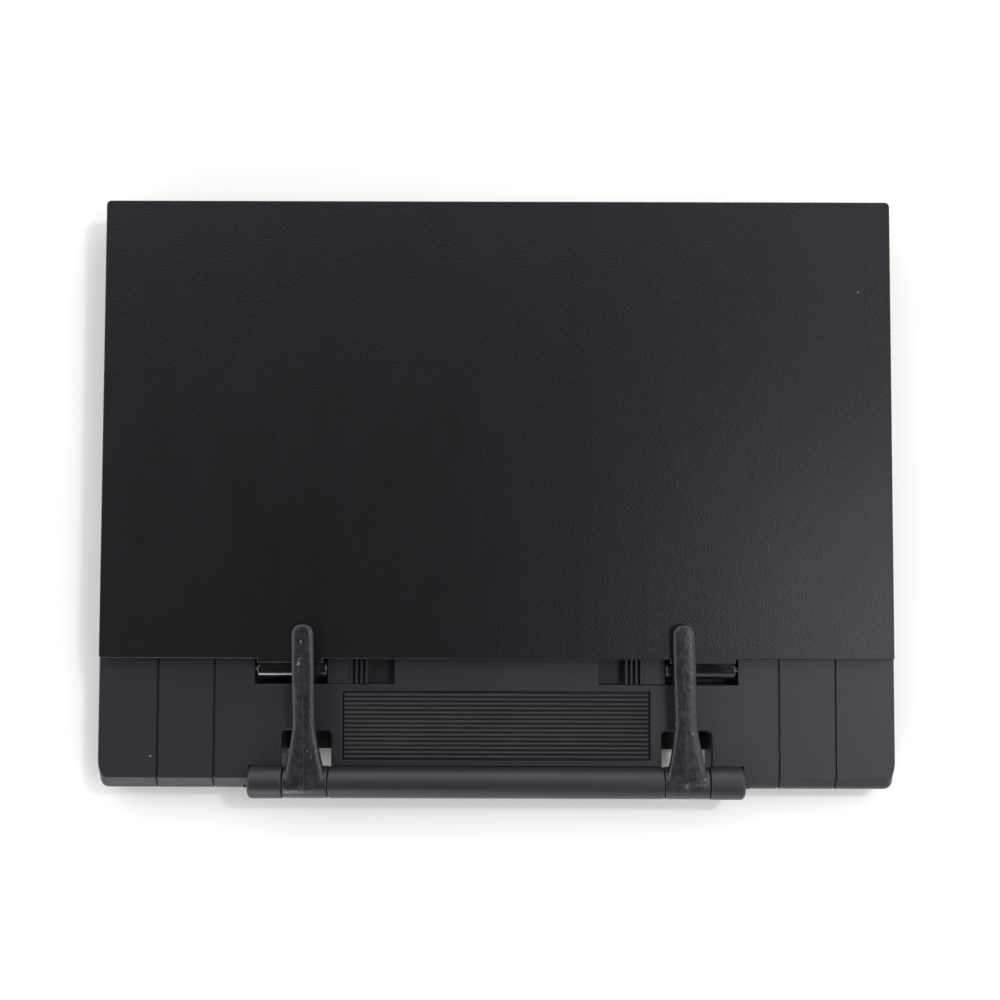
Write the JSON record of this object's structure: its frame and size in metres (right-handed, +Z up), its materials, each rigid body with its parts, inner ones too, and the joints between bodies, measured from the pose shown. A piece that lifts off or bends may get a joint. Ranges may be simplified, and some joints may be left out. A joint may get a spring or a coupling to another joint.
{
  "type": "photo album stand",
  "caption": "Folding desktop stand for an album: a tilting backrest plate on a flat base, with a ribbed rubber pad, sprung page-holder arms and hinge latches.",
  "frame": {"origin": "on the table, under the middle of the folded stand", "axes": "+X across the stand to the right as seen from the front, +Y from the front roll to the back, +Z up"},
  "size_m": [0.33, 0.2482, 0.0264],
  "materials": {
    "base_plastic": "fine moulded texture",
    "plate_plastic": "fine pebble texture",
    "arm_plastic": "semi-satin, lightly scuffed",
    "gloss_plastic": "glossy",
    "rubber": "matt ribbed rubber",
    "steel": "bright ground",
    "spring_steel": "drawn wire",
    "nylon": "natural",
    "screw_steel": "black oxide"
  },
  "bodies": {
    "base": {"base_top_shell": "base_plastic", "base_bottom_cover": "base_plastic", "base_screws": "screw_steel", "rubber_feet": "rubber", "ribbed_pad": "rubber", "front_roll": "base_plastic", "left_rod_cap": "base_plastic", "right_rod_cap": "base_plastic", "front_rod": "steel", "left_hinge_pin": "steel", "right_hinge_pin": "steel", "left_latch_keeper": "base_plastic", "right_latch_keeper": "base_plastic", "keeper_screws": "screw_steel", "left_latch_spring": "spring_steel", "right_latch_spring": "spring_steel"},
    "backrest": {"backrest_panel": "plate_plastic", "backrest_rear_cover": "plate_plastic", "backrest_screws": "screw_steel", "backrest_bumpers": "rubber", "left_hinge_knuckle": "gloss_plastic", "right_hinge_knuckle": "gloss_plastic", "knuckle_screws": "screw_steel", "left_friction_sleeve": "nylon", "right_friction_sleeve": "nylon"},
    "left_arm_carrier": {"left_arm_hub": "nylon", "left_arm_spring": "spring_steel"},
    "left_arm": {"left_page_arm": "arm_plastic"},
    "left_latch": {"left_latch_slide": "base_plastic", "left_latch_pin": "steel"},
    "right_arm_carrier": {"right_arm_hub": "nylon", "right_arm_spring": "spring_steel"},
    "right_arm": {"right_page_arm": "arm_plastic"},
    "right_latch": {"right_latch_slide": "base_plastic", "right_latch_pin": "steel"}
  },
  "joints": [
    {"name": "backrest_tilt", "type": "hinge", "parent": "base", "child": "backrest", "pos_m": [0, -0.0709, 0.013], "axis": [1, 0, 0], "range_deg": [0, 75]},
    {"name": "left_arm_follow", "type": "hinge", "parent": "base", "child": "left_arm_carrier", "pos_m": [-0.0785, -0.1174, 0.016], "axis": [1, 0, 0], "range_deg": [0, 37]},
    {"name": "left_arm_swing", "type": "hinge", "parent": "left_arm_carrier", "child": "left_arm", "pos_m": [-0.0785, -0.1174, 0.016], "axis": [1, 0, 0], "range_deg": [0, 100], "stiffness_Nm_per_rad": 0.03, "springref_deg": -68.75},
    {"name": "left_latch_travel", "type": "slide", "parent": "base", "child": "left_latch", "axis": [1, 0, 0], "range_m": [0, 0.01], "stiffness_N_per_m": 120, "springref_m": -0.012, "deforming": ["left_latch_spring"]},
    {"name": "right_arm_follow", "type": "hinge", "parent": "base", "child": "right_arm_carrier", "pos_m": [0.0785, -0.1174, 0.016], "axis": [1, 0, 0], "range_deg": [0, 37]},
    {"name": "right_arm_swing", "type": "hinge", "parent": "right_arm_carrier", "child": "right_arm", "pos_m": [0.0785, -0.1174, 0.016], "axis": [1, 0, 0], "range_deg": [0, 100], "stiffness_Nm_per_rad": 0.03, "springref_deg": -68.75},
    {"name": "right_latch_travel", "type": "slide", "parent": "base", "child": "right_latch", "axis": [-1, 0, 0], "range_m": [0, 0.01], "stiffness_N_per_m": 120, "springref_m": -0.012, "deforming": ["right_latch_spring"]}
  ],
  "couplings": [
    {"joint": "left_arm_follow", "follows": "backrest_tilt", "ratio": 0.49},
    {"joint": "right_arm_follow", "follows": "backrest_tilt", "ratio": 0.49}
  ]
}
